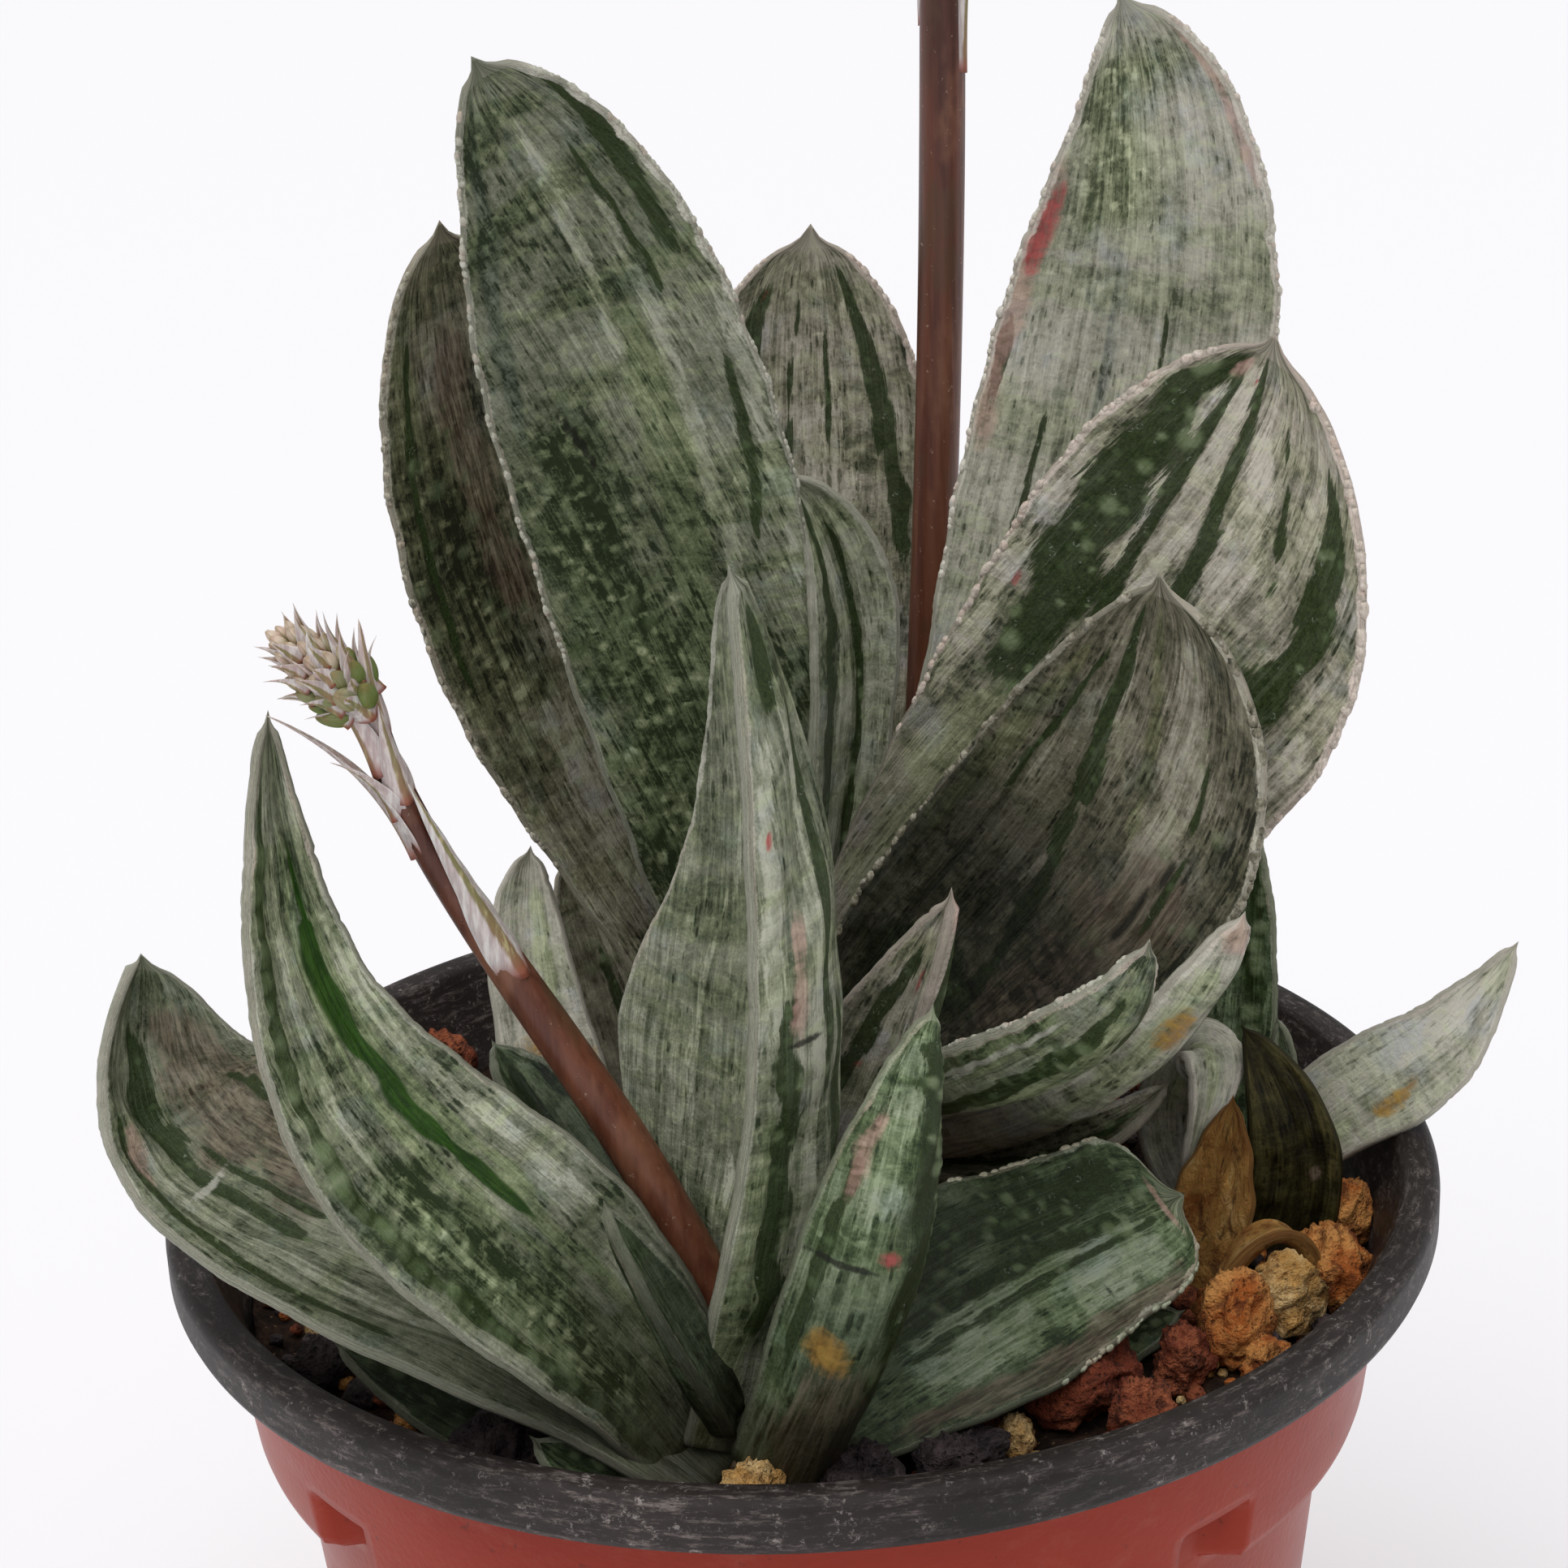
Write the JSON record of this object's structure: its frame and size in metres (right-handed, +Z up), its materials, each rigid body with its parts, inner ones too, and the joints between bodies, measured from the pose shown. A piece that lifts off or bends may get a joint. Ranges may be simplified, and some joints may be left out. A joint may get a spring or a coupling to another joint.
{
  "type": "potted gasteria",
  "caption": "Clump of gasteria rosettes with thick folded spotted leaves, a young and a tall flower stalk, in soil with gravel in a round plastic nursery pot.",
  "frame": {"origin": "centre of the pot's underside, on the surface the pot stands on", "axes": "+Z up; -Y towards the viewer, where the front rosette grows; +X to the viewer's right"},
  "size_m": [0.1283, 0.12, 0.2602],
  "materials": {
    "terracotta_plastic": "satin, dusty",
    "potting_mix": "matt, coarse",
    "leaf_grey_green": "satin, waxy skin",
    "leaf_dark_spotted": "satin, waxy skin",
    "leaf_pale": "satin, waxy skin",
    "leaf_dry": "matt, papery",
    "stem_crown": "matt",
    "flower_stalk": "satin",
    "buds": "satin"
  },
  "bodies": {
    "root": {"pot": "terracotta_plastic", "soil": "potting_mix", "front_crown": "stem_crown", "rear_crown": "stem_crown", "right_crown": "stem_crown", "left_crown": "stem_crown", "tall_flower_stalk": "flower_stalk", "young_flower_stalk": "flower_stalk", "tall_bud_head": "buds", "young_bud_head": "buds", "front_leaf_centre": "leaf_grey_green", "front_leaf_finger": "leaf_grey_green", "front_leaf_arched": "leaf_grey_green", "front_leaf_low_left": "leaf_grey_green", "front_leaf_low_right": "leaf_grey_green", "front_leaf_inner_right": "leaf_grey_green", "front_leaf_under_stalk": "leaf_grey_green", "front_leaf_young": "leaf_pale", "front_leaf_buried_left": "leaf_dark_spotted", "front_leaf_at_rim": "leaf_dark_spotted", "rear_leaf_broad_front": "leaf_dark_spotted", "rear_leaf_spotted": "leaf_dark_spotted", "rear_leaf_tall_left": "leaf_grey_green", "rear_leaf_tall_right": "leaf_grey_green", "rear_leaf_low_front": "leaf_dark_spotted", "rear_leaf_low_finger": "leaf_dark_spotted", "rear_leaf_low_dark": "leaf_dark_spotted", "rear_leaf_behind_left": "leaf_grey_green", "rear_leaf_back": "leaf_grey_green", "rear_leaf_folded": "leaf_grey_green", "right_leaf_over_rim": "leaf_pale", "right_leaf_broad_short": "leaf_dark_spotted", "right_leaf_curled": "leaf_dark_spotted", "right_leaf_rear": "leaf_pale", "right_leaf_bud": "leaf_pale", "right_dry_leaf": "leaf_dry", "right_dry_scrap": "leaf_dry", "right_leaf_sprout": "leaf_dark_spotted", "left_leaf_pale": "leaf_pale", "left_leaf_shaded": "leaf_dark_spotted"}
  },
  "joints": []
}
